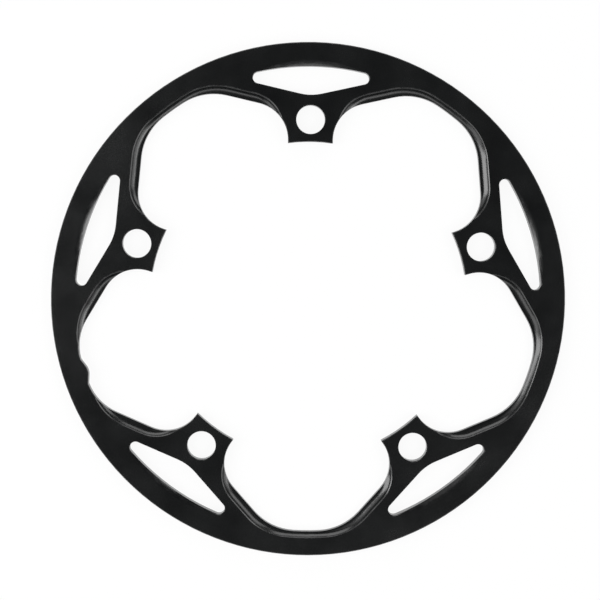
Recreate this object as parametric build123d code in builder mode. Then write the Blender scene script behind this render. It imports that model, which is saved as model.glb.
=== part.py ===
from build123d import *

import math
import os

# Bicycle chain guard, one flat plate: a plain rim, inward bolt tabs that each hang from the
# rim on a pair of struts, a window behind every tab and an open bay between each two tabs.
# Millimetres. It lies on its back face at Z = 0 with the front face up, one tab toward +Y,
# and the origin is the centre of the bolt circle.

# Plate and rim
thickness = 4.0
rim_width = 8.5
edge_break = 0.3
edge_break_angle = 45.0

# Bolt tabs, with the walls of metal left around each bolt hole; the radii add up outward from
# the bolt circle, so these walls, the window and the rim make the 185 mm across the guard
tab_count = 5
bolt_circle_diameter = 130.0
bolt_hole_diameter = 10.3
tab_side_wall = 2.85
tab_end_wall = 2.7
tab_fillet_radius = 13.4
hole_to_window_wall = 3.65

# Struts, measured beside the centre line of their tab
strut_angle = 12.7
strut_width = 6.6

# Windows between the struts and the rim
window_depth = 10.2
window_apex_radius = 17.4
window_end_radius = 2.1

# Rounded bevel on the front of the windows' rim side: a crescent that dies out on the end rounds
window_bevel_width = 2.1
window_bevel_radius = 6.5
window_bevel_start = 10.0
window_bevel_inset = 0.05

# Bays between neighbouring tabs
bay_corner_radius = 20.5

# Relief along the front edges of the bays: in section a bevelled lip, a drafted wall and a cove
# that ends in a flat ledge, whose depth follows from these
relief_lip_width = 0.3
relief_lip_depth = 0.2
relief_wall = 0.25
relief_draft = 40.0
relief_cove_radius = 3.3
relief_strut_width = 3.25
relief_rim_width = 2.15
relief_tab_gap = 1.5
relief_corner_radius = 21.3

# Index bump that marks one bay, which is a little deeper than the others; the relief of that
# bay keeps clear of the bump and runs out on the bay's edge before it
index_bay = 2
index_bay_depth = 0.8
index_bay_corner_radius = 18.5
index_height = 1.5
index_flank_angle = 20.0
index_crest_radius = 5.0
index_root_radius = 3.0
index_relief_inset = 0.3
index_relief_gap = 1.5

# Radii and angles that follow from the sizes above
bolt_circle_radius = bolt_circle_diameter / 2
bolt_hole_radius = bolt_hole_diameter / 2
tab_half_width = bolt_hole_radius + tab_side_wall
tab_end_radius = bolt_circle_radius - bolt_hole_radius - tab_end_wall
window_apex = bolt_circle_radius + bolt_hole_radius + hole_to_window_wall
rim_inner_radius = window_apex + window_depth
rim_radius = rim_inner_radius + rim_width
index_bay_radius = rim_inner_radius + index_bay_depth
tab_pitch = 360 / tab_count
first_tab_angle = 90.0
first_bay_angle = first_tab_angle - tab_pitch / 2
index_bay_angle = first_bay_angle + index_bay * tab_pitch
slope = math.radians(strut_angle)

# Distance of the strut flanks from the guard's centre, square to the flank
window_apex_center = window_apex + window_apex_radius
window_flank = window_apex_center * math.cos(slope) - window_apex_radius
bay_flank = window_flank - strut_width

# Depth of the relief below its lip, and the angle of the lip's bevel from upright
relief_bend = math.radians(90 - relief_draft)
relief_cove_depth = relief_cove_radius * (1 - math.cos(relief_bend))
relief_depth = relief_wall * math.sin(relief_bend) + relief_cove_depth
relief_lip_angle = math.degrees(math.atan2(relief_lip_width, relief_lip_depth))


def turned(x, y, angle):
    """Point given in axes that are turned by an angle about the guard's centre."""
    return Vector(x, y).rotate(Axis.Z, angle)


def bay_face(flank, side, outer_radius, corner_radius):
    """Outline of one bay: rim arc, corner, strut flank, tab fillet and tab side on each half.

    The X axis is the middle of the bay. The flank is given by its distance from the guard's
    centre and the tab side by its distance from the tab's centre line. The tab sides run on
    into the centre opening, where the outline is closed.
    """
    flank_angle = tab_pitch / 2 + strut_angle
    corner_height = flank - corner_radius
    corner_run = math.sqrt((outer_radius - corner_radius) ** 2 - corner_height**2)
    corner_center = turned(corner_height, -corner_run, flank_angle)
    corner_turn = math.degrees(math.atan2(corner_run, corner_height))
    corner_angle = flank_angle - corner_turn
    fillet_height = flank - tab_fillet_radius
    fillet_run = (side + tab_fillet_radius + fillet_height * math.sin(slope)) / math.cos(slope)
    fillet_center = turned(fillet_height, -fillet_run, flank_angle)
    side_end = turned(tab_end_radius / 2, -side, tab_pitch / 2)
    with BuildSketch() as bay:
        with BuildLine():
            CenterArc((0, 0), outer_radius, -corner_angle, 2 * corner_angle)
            corner = CenterArc(corner_center, corner_radius, corner_angle, corner_turn)
            tab_fillet = CenterArc(fillet_center, tab_fillet_radius, flank_angle, 90 - strut_angle)
            strut = Line(corner @ 1, tab_fillet @ 0)
            tab_side = Line(tab_fillet @ 1, side_end)
            mirror([corner, strut, tab_fillet, tab_side], about=Plane.XZ)
            Line(side_end, (side_end.X, -side_end.Y))
        make_face()
    return bay.sketch


def index_wedge(tip):
    """Wedge that points at the guard's centre from the rim, with its tip at the given radius."""
    half_base = (rim_radius - tip) / math.tan(math.radians(index_flank_angle))
    with BuildSketch() as wedge:
        with BuildLine():
            Polyline((tip, 0), (rim_radius, half_base), (rim_radius, -half_base), close=True)
        make_face()
    return wedge.sketch


def relief_cutter(outline):
    """Cutter that sinks an outline into the front face, with the relief's section all round."""
    with BuildPart() as cutter:
        with BuildSketch(Plane.XY.offset(thickness)):
            add(outline)
        extrude(amount=-relief_lip_depth, taper=relief_lip_angle)
        extrude(cutter.faces().sort_by(Axis.Z)[0], amount=relief_depth, taper=relief_draft)
        floor = cutter.faces().sort_by(Axis.Z)[0]
        fillet(floor.edges().filter_by(GeomType.CIRCLE), relief_cove_radius)
    return cutter.part


# Bay outlines, one for the plain bays and one for the bay with the index bump
plain_bay = bay_face(bay_flank, tab_half_width, rim_inner_radius, bay_corner_radius)
index_bay_outline = bay_face(bay_flank, tab_half_width, index_bay_radius, index_bay_corner_radius)

# Index bump: a blunt wedge left standing in the middle of its bay
index_flank = math.radians(index_flank_angle)
index_tip = index_bay_radius - index_height - index_crest_radius * (1 / math.cos(index_flank) - 1)
with BuildSketch() as marked_bay:
    add(index_bay_outline)
    add(index_wedge(index_tip), mode=Mode.SUBTRACT)
    wedge_corners = marked_bay.vertices().sort_by_distance((index_tip, 0))
    fillet(wedge_corners[0], index_crest_radius)
    fillet(wedge_corners[1:3], index_root_radius)

# Window outline, with the tab's centre line as its X axis
window_end_height = window_flank + window_end_radius
window_end_run = math.sqrt((rim_inner_radius - window_end_radius) ** 2 - window_end_height**2)
window_end_center = turned(window_end_height, window_end_run, -strut_angle)
window_end_angle = math.degrees(math.atan2(window_end_run, window_end_height)) - strut_angle
window_end_turn = 180 - strut_angle - window_end_angle
with BuildSketch() as window:
    with BuildLine():
        CenterArc((0, 0), rim_inner_radius, -window_end_angle, 2 * window_end_angle)
        end_round = CenterArc(window_end_center, window_end_radius, window_end_angle, window_end_turn)
        apex = CenterArc((window_apex_center, 0), window_apex_radius, 180 - strut_angle, 2 * strut_angle)
        inner_wall = Line(end_round @ 1, apex @ 0)
        mirror([end_round, inner_wall], about=Plane.XZ)
    make_face()

# Relief outlines on the front face
plain_relief = bay_face(
    bay_flank + relief_strut_width,
    tab_half_width + relief_tab_gap,
    rim_inner_radius + relief_rim_width,
    relief_corner_radius,
)
index_relief_outline = bay_face(
    bay_flank + relief_strut_width,
    tab_half_width + relief_tab_gap,
    index_bay_radius - index_relief_inset,
    relief_corner_radius,
)
with BuildSketch() as index_relief:
    add(index_relief_outline)
    add(index_wedge(index_tip - index_relief_gap), mode=Mode.SUBTRACT)

# Cutters for the relief
plain_cutter = relief_cutter(plain_relief)
index_cutter = relief_cutter(index_relief.sketch)

# Crescent of the windows' bevel, as an arc that starts and ends beside the window's end rounds
crescent_top = rim_inner_radius + window_bevel_width
crescent_end = window_end_radius - window_bevel_inset
crescent_rise = crescent_top - window_end_center.X
crescent_span = crescent_rise**2 + window_end_center.Y**2 - crescent_end**2
crescent_radius = crescent_span / (2 * (crescent_rise - crescent_end))
crescent_center = crescent_top - crescent_radius
crescent_angle = math.degrees(math.atan2(window_end_center.Y, window_end_center.X - crescent_center))

# Section of the bevel's cutter: an arc that leaves the front face at the starting slope and gets
# steeper toward its foot in the open window
bevel_foot = crescent_radius - window_bevel_width - window_end_radius / 2
bevel_axis = crescent_radius + window_bevel_radius * math.sin(math.radians(window_bevel_start))
bevel_drop = window_bevel_radius * math.cos(math.radians(window_bevel_start))
bevel_end = math.degrees(math.asin((bevel_axis - bevel_foot) / window_bevel_radius))
bevel_turn = bevel_end - window_bevel_start
bevel_center = (bevel_axis, -bevel_drop)
crescent_start = Plane(
    origin=(crescent_center, 0, thickness),
    x_dir=turned(1, 0, -crescent_angle),
    z_dir=turned(0, -1, -crescent_angle),
)
with BuildPart() as window_cutter:
    with BuildSketch(crescent_start):
        with BuildLine():
            bevel = CenterArc(bevel_center, window_bevel_radius, 90 + window_bevel_start, bevel_turn)
            Polyline(bevel @ 1, (bevel_foot, 0), bevel @ 0)
        make_face()
    revolve(axis=Axis((crescent_center, 0, 0), (0, 0, 1)), revolution_arc=2 * crescent_angle)

# Plate outline with all its openings
with BuildSketch() as plate_outline:
    Circle(rim_radius)
    Circle(tab_end_radius, mode=Mode.SUBTRACT)
    with PolarLocations(0, tab_count - 1, index_bay_angle + tab_pitch, 360 - tab_pitch):
        add(plain_bay, mode=Mode.SUBTRACT)
    with PolarLocations(0, 1, index_bay_angle):
        add(marked_bay.sketch, mode=Mode.SUBTRACT)
    with PolarLocations(0, tab_count, first_tab_angle):
        add(window.sketch, mode=Mode.SUBTRACT)
    with PolarLocations(bolt_circle_radius, tab_count, first_tab_angle):
        Circle(bolt_hole_radius, mode=Mode.SUBTRACT)

# Plate: straight walls between two thin bevelled layers that break the edges of the back and
# the front, then the relief and the windows' bevels sunk into the front
with BuildPart() as chain_guard:
    with BuildSketch(Plane.XY.offset(edge_break)):
        add(plate_outline.sketch)
    extrude(amount=thickness - 2 * edge_break)
    back = chain_guard.faces().sort_by(Axis.Z)[0]
    front = chain_guard.faces().sort_by(Axis.Z)[-1]
    extrude([back, front], amount=edge_break, taper=edge_break_angle)
    with PolarLocations(0, tab_count - 1, index_bay_angle + tab_pitch, 360 - tab_pitch):
        add(plain_cutter, mode=Mode.SUBTRACT)
    with PolarLocations(0, 1, index_bay_angle):
        add(index_cutter, mode=Mode.SUBTRACT)
    with PolarLocations(0, tab_count, first_tab_angle):
        add(window_cutter.part, mode=Mode.SUBTRACT)

os.makedirs("parts", exist_ok=True)
chain_guard.part.label = "chain_guard"
export_step(chain_guard.part, "parts/chain_guard.step")
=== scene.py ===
import math

import bpy
from mathutils import Euler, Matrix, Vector


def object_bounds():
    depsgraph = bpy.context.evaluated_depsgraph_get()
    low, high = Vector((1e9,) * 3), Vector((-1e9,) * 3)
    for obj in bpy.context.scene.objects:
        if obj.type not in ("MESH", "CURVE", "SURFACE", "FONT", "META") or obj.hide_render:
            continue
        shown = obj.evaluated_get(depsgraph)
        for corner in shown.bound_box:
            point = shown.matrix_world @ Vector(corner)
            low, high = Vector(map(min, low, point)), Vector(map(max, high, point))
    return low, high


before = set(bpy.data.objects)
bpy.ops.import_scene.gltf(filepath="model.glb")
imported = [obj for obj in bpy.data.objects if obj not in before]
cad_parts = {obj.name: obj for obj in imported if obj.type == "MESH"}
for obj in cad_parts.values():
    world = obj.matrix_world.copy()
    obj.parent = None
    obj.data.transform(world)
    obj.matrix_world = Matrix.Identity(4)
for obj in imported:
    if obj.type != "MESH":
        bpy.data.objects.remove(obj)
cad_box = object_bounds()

# Sizes are in metres and angles in degrees. The guard lies on the floor with its front up.
lowest, highest = cad_box
front = highest.z
span = highest.x - lowest.x

# Camera: above the guard and a little toward +Y and -X. Its sensor is in millimetres.
camera_distance = 0.55
picture_width = 0.2157
picture_centre = (-0.00315, 0.00038)
camera_lean = (-3.3, -1.0)
camera_roll = 0.54
sensor_width = 36.0

# Softboxes: azimuth from +X, elevation, width, height and power in watts
light_distance = 1.0
softboxes = {
    "left": (180, 40, 0.45, 0.95, 7.2),
    "left_far": (150, 40, 0.45, 0.50, 0.6),
    "left_near": (215, 32, 0.45, 0.65, 1.6),
    "right": (-15, 28, 0.80, 0.60, 2.7),
    "right_high": (-15, 48, 0.60, 0.25, 1.5),
    "right_far": (35, 38, 0.45, 0.55, 1.8),
    "right_near": (320, 52, 0.50, 0.30, 1.0),
    "far": (95, 24, 1.00, 0.45, 3.2),
    "far_high": (135, 60, 0.45, 0.45, 0.25),
    "near": (270, 46, 0.90, 0.35, 1.5),
    "near_high": (260, 60, 0.70, 0.40, 0.10),
}

# Room: white to the camera, and almost dark to the guard
room_colour = (1, 1, 1, 1)
room_white = 1
room_light = 0.005

# Floor: its width in spans of the guard, and the share of its look that is white without light
floor_colour = (0.9, 0.9, 0.9, 1)
floor_spans = 20
floor_gap = 0.00005
floor_glow = 0.92

# Anodised surface: colours, gloss and roughness
black_deep = (0.0046, 0.0050, 0.0052, 1)
black_pale = (0.0071, 0.0077, 0.0079, 1)
rubbed_grey = (0.045, 0.045, 0.046, 1)
oxide_ior = 1.65
sheen_roughness = (0.20, 0.26)
speckle_roughness = (-0.03, 0.03)

# Anodised surface: blasted grain, turning marks round the centre, blotches and scuffs
grain_size = 0.00022
grain_height = 0.000003
grain_detail = 2
turning_pitch = 0.0011
turning_height = 0.000004
turning_detail = 3
blotch_size = 0.016
blotch_detail = 4
scuff_size = 0.0035
scuff_detail = 4

# Rubbed edges: depths below the front where the rubbing starts and where it is full
rub_start_depth = 0.00035
rub_full_depth = 0.000175

# Ranges that the surface's values are taken from. Facing is 1 where a face looks straight up.
whole = (0, 1)
noise_middle = (0.3, 0.7)
scuff_noise = (0.42, 0.68)
sloped_facing = (0.98, 0.9)
flat_facing = (0.98, 0.999)

# Colour sockets of Blender's Mix node, whose names aren't unique
mix_low = 6
mix_high = 7
mix_result = 2


def make_camera():
    data = bpy.data.cameras.new("camera")
    data.sensor_width = sensor_width
    data.lens = sensor_width * camera_distance / picture_width
    camera = bpy.data.objects.new("camera", data)
    bpy.context.collection.objects.link(camera)
    angles = [math.radians(angle) for angle in (*camera_lean, camera_roll)]
    turn = Euler(angles, "ZYX").to_matrix()
    target = Vector((*picture_centre, front))
    camera.rotation_euler = turn.to_euler()
    camera.location = target + turn @ Vector((0, 0, camera_distance))
    bpy.context.scene.camera = camera


def new_material(name):
    material = bpy.data.materials.new(name)
    material.use_nodes = True
    return material, material.node_tree.nodes, material.node_tree.links


def add_parts(nodes, links, vector):
    """X, Y and Z of a vector."""
    parts = nodes.new("ShaderNodeSeparateXYZ")
    links.new(vector, parts.inputs[0])
    return parts.outputs


def add_noise(nodes, links, place, size, detail):
    """Noise whose lumps have about the given size."""
    noise = nodes.new("ShaderNodeTexNoise")
    noise.inputs["Scale"].default_value = 1 / size
    noise.inputs["Detail"].default_value = detail
    links.new(place, noise.inputs["Vector"])
    return noise.outputs["Fac"]


def add_rings(nodes, links, parts, pitch, detail):
    """Noise that changes only with the distance from the guard's centre line."""
    flat_place = nodes.new("ShaderNodeCombineXYZ")
    links.new(parts["X"], flat_place.inputs["X"])
    links.new(parts["Y"], flat_place.inputs["Y"])
    radius = nodes.new("ShaderNodeVectorMath")
    radius.operation = "LENGTH"
    links.new(flat_place.outputs[0], radius.inputs[0])
    rings = nodes.new("ShaderNodeTexNoise")
    rings.noise_dimensions = "1D"
    rings.inputs["Scale"].default_value = 1 / pitch
    rings.inputs["Detail"].default_value = detail
    links.new(radius.outputs["Value"], rings.inputs["W"])
    return rings.outputs["Fac"]


def add_range(nodes, links, value, source, target):
    """Value mapped from one range to another and held to its ends."""
    mapped = nodes.new("ShaderNodeMapRange")
    mapped.inputs["From Min"].default_value, mapped.inputs["From Max"].default_value = source
    mapped.inputs["To Min"].default_value, mapped.inputs["To Max"].default_value = target
    links.new(value, mapped.inputs["Value"])
    return mapped.outputs["Result"]


def add_maths(nodes, links, operation, first, second):
    """Result of one operation on two values."""
    maths = nodes.new("ShaderNodeMath")
    maths.operation = operation
    links.new(first, maths.inputs[0])
    links.new(second, maths.inputs[1])
    return maths.outputs[0]


def add_colours(nodes, links, share, low, high):
    """Colour between two others, each given as a colour or as a socket."""
    mix = nodes.new("ShaderNodeMix")
    mix.data_type = "RGBA"
    links.new(share, mix.inputs["Factor"])
    for socket, colour in ((mix.inputs[mix_low], low), (mix.inputs[mix_high], high)):
        if isinstance(colour, tuple):
            socket.default_value = colour
        else:
            links.new(colour, socket)
    return mix.outputs[mix_result]


def add_bump(nodes, links, relief, height):
    """Bump as high as given, whose strength and normal are still free."""
    bump = nodes.new("ShaderNodeBump")
    bump.inputs["Distance"].default_value = height
    links.new(relief, bump.inputs["Height"])
    return bump


def make_anodised_black():
    material, nodes, links = new_material("anodised_black")
    shader = nodes["Principled BSDF"]
    shader.inputs["IOR"].default_value = oxide_ior
    place = nodes.new("ShaderNodeTexCoord").outputs["Object"]
    parts = add_parts(nodes, links, place)
    normal = nodes.new("ShaderNodeNewGeometry").outputs["True Normal"]
    facing = add_parts(nodes, links, normal)["Z"]

    # Edges and lips at the front are rubbed in patches
    sloped = add_range(nodes, links, facing, sloped_facing, whole)
    rub_heights = (front - rub_start_depth, front - rub_full_depth)
    high = add_range(nodes, links, parts["Z"], rub_heights, whole)
    edge = add_maths(nodes, links, "MULTIPLY", sloped, high)
    scuff = add_noise(nodes, links, place, scuff_size, scuff_detail)
    scuffed = add_range(nodes, links, scuff, scuff_noise, whole)
    rubbed = add_maths(nodes, links, "MULTIPLY", edge, scuffed)

    # Colour and roughness drift in blotches, and the grain speckles the roughness
    blotches = add_noise(nodes, links, place, blotch_size, blotch_detail)
    drift = add_range(nodes, links, blotches, noise_middle, whole)
    black = add_colours(nodes, links, drift, black_deep, black_pale)
    links.new(add_colours(nodes, links, rubbed, black, rubbed_grey), shader.inputs["Base Color"])
    grain = add_noise(nodes, links, place, grain_size, grain_detail)
    sheen = add_range(nodes, links, drift, whole, sheen_roughness)
    speckle = add_range(nodes, links, grain, noise_middle, speckle_roughness)
    links.new(add_maths(nodes, links, "ADD", sheen, speckle), shader.inputs["Roughness"])

    # Turning marks lie where a face looks straight up, and the grain lies all over
    turning = add_rings(nodes, links, parts, turning_pitch, turning_detail)
    marks = add_bump(nodes, links, turning, turning_height)
    links.new(add_range(nodes, links, facing, flat_facing, whole), marks.inputs["Strength"])
    blasted = add_bump(nodes, links, grain, grain_height)
    links.new(marks.outputs[0], blasted.inputs["Normal"])
    links.new(blasted.outputs[0], shader.inputs["Normal"])
    return material


def make_floor():
    floor_place = (0, 0, lowest.z - floor_gap)
    bpy.ops.mesh.primitive_plane_add(size=floor_spans * span, location=floor_place)
    floor = bpy.context.object
    floor.name = "floor"
    material, nodes, links = new_material("floor_white")
    nodes.clear()
    diffuse = nodes.new("ShaderNodeBsdfDiffuse")
    diffuse.inputs["Color"].default_value = floor_colour
    glow = nodes.new("ShaderNodeEmission")
    path = nodes.new("ShaderNodeLightPath").outputs
    seen = add_maths(nodes, links, "MAXIMUM", path["Is Camera Ray"], path["Is Glossy Ray"])
    seen = add_maths(nodes, links, "MAXIMUM", seen, path["Is Transmission Ray"])
    mix = nodes.new("ShaderNodeMixShader")
    links.new(add_range(nodes, links, seen, whole, (0, floor_glow)), mix.inputs[0])
    links.new(diffuse.outputs[0], mix.inputs[1])
    links.new(glow.outputs[0], mix.inputs[2])
    links.new(mix.outputs[0], nodes.new("ShaderNodeOutputMaterial").inputs["Surface"])
    floor.data.materials.append(material)


def make_softbox(name, azimuth, elevation, width, height, power):
    """Rectangular light that faces the guard's centre."""
    data = bpy.data.lights.new(name, "AREA")
    data.shape = "RECTANGLE"
    data.size = width
    data.size_y = height
    data.energy = power
    light = bpy.data.objects.new(name, data)
    bpy.context.collection.objects.link(light)
    around = math.radians(azimuth)
    up = math.radians(elevation)
    level = math.cos(up)
    outward = Vector((level * math.cos(around), level * math.sin(around), math.sin(up)))
    light.location = outward * light_distance
    light.rotation_euler = (-outward).to_track_quat("-Z", "Y").to_euler()


def make_room():
    world = bpy.data.worlds.new("room")
    bpy.context.scene.world = world
    world.use_nodes = True
    nodes = world.node_tree.nodes
    links = world.node_tree.links
    background = nodes["Background"]
    background.inputs["Color"].default_value = room_colour
    path = nodes.new("ShaderNodeLightPath").outputs
    strengths = (room_light, room_white)
    strength = add_range(nodes, links, path["Is Camera Ray"], whole, strengths)
    links.new(strength, background.inputs["Strength"])


make_camera()
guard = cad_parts["chain_guard"]
guard.material_slots[0].material = make_anodised_black()
make_floor()
for name, values in softboxes.items():
    make_softbox(name, *values)
make_room()
bpy.context.scene.view_settings.view_transform = "Standard"
